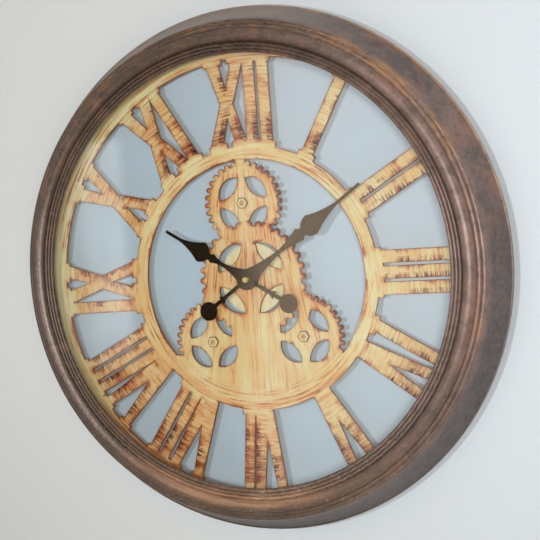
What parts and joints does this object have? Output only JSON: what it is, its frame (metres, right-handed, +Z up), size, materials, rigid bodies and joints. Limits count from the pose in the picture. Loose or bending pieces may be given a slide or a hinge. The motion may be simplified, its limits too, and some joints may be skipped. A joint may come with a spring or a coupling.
{
  "type": "wall clock",
  "caption": "Round wall clock with an antique bronze moulded bezel, a glazed skeleton dial of cut-out gears and roman numerals, and spade hands on a quartz movement",
  "frame": {"origin": "the point where the bezel's axis meets the wall, level with the rear faces of the two felt bumpers", "axes": "+Z up, -Y out of the dial towards the viewer, +X to the viewer's right"},
  "size_m": [0.606, 0.0734, 0.606],
  "materials": {
    "bronze": "moulded resin painted antique bronze, worn to gold on the beads",
    "dial_wood": "thin board printed and hand-stained as pale wood with burnt edges",
    "disc_wood": "cream painted board",
    "clear_glass": "clear float glass",
    "retainer_plastic": "black extruded strip",
    "hand_black": "stamped steel, satin bronze-black lacquer",
    "brass": "turned brass",
    "steel": "zinc plated steel",
    "bolt_cream": "painted over with the dial's stain",
    "back_wood": "fibreboard painted dark brown",
    "black_plastic": "moulded black plastic",
    "white_plastic": "white moulded acetal",
    "rubber": "soft black rubber",
    "felt": "self-adhesive felt",
    "copper": "enamelled copper wire",
    "board_green": "printed circuit board",
    "battery_skin": "plain wrapped AA cell"
  },
  "bodies": {
    "clock": {"bezel": "bronze", "glass": "clear_glass", "glass_retainer": "retainer_plastic", "dial_plate": "dial_wood", "backing_disc": "disc_wood", "gear_bolts": "bolt_cream", "gear_bolt_nuts": "steel", "back_ring": "back_wood", "ring_screws": "steel", "hanger_plate": "steel", "hanger_screws": "steel", "wall_bumpers": "felt", "movement_case": "black_plastic", "movement_cover": "black_plastic", "threaded_bushing": "brass", "rubber_washer": "rubber", "brass_washer": "brass", "fixing_nut": "brass", "stator": "steel", "coil": "copper", "circuit_board": "board_green", "battery": "battery_skin", "battery_contacts": "steel"},
    "minute": {"minute_wheel": "steel", "minute_hand": "hand_black", "hand_nut": "brass"},
    "hour": {"hour_wheel": "white_plastic", "hour_hand": "hand_black"},
    "setting": {"motion_wheel": "white_plastic", "set_knob": "black_plastic"},
    "third": {"third_wheel": "white_plastic"},
    "rotor": {"step_rotor": "white_plastic"}
  },
  "joints": [
    {"name": "minute_spin", "type": "hinge", "parent": "clock", "child": "minute", "pos_m": [0, -0.015, -0.009], "axis": [0, 1, 0], "continuous": true},
    {"name": "hour_spin", "type": "hinge", "parent": "clock", "child": "hour", "pos_m": [0, -0.015, -0.009], "axis": [0, 1, 0], "continuous": true},
    {"name": "setting_spin", "type": "hinge", "parent": "clock", "child": "setting", "pos_m": [0.00919, -0.015, -0.00129], "axis": [0, 1, 0], "continuous": true},
    {"name": "third_spin", "type": "hinge", "parent": "clock", "child": "third", "pos_m": [-0.00998, -0.015, -0.00324], "axis": [0, 1, 0], "continuous": true},
    {"name": "rotor_spin", "type": "hinge", "parent": "clock", "child": "rotor", "pos_m": [-0.0168, -0.015, 0.00358], "axis": [0, 1, 0], "continuous": true}
  ],
  "couplings": [
    {"joint": "hour_spin", "follows": "minute_spin", "ratio": 0.083333},
    {"joint": "setting_spin", "follows": "minute_spin", "ratio": -0.33333},
    {"joint": "third_spin", "follows": "minute_spin", "ratio": -10}
  ]
}
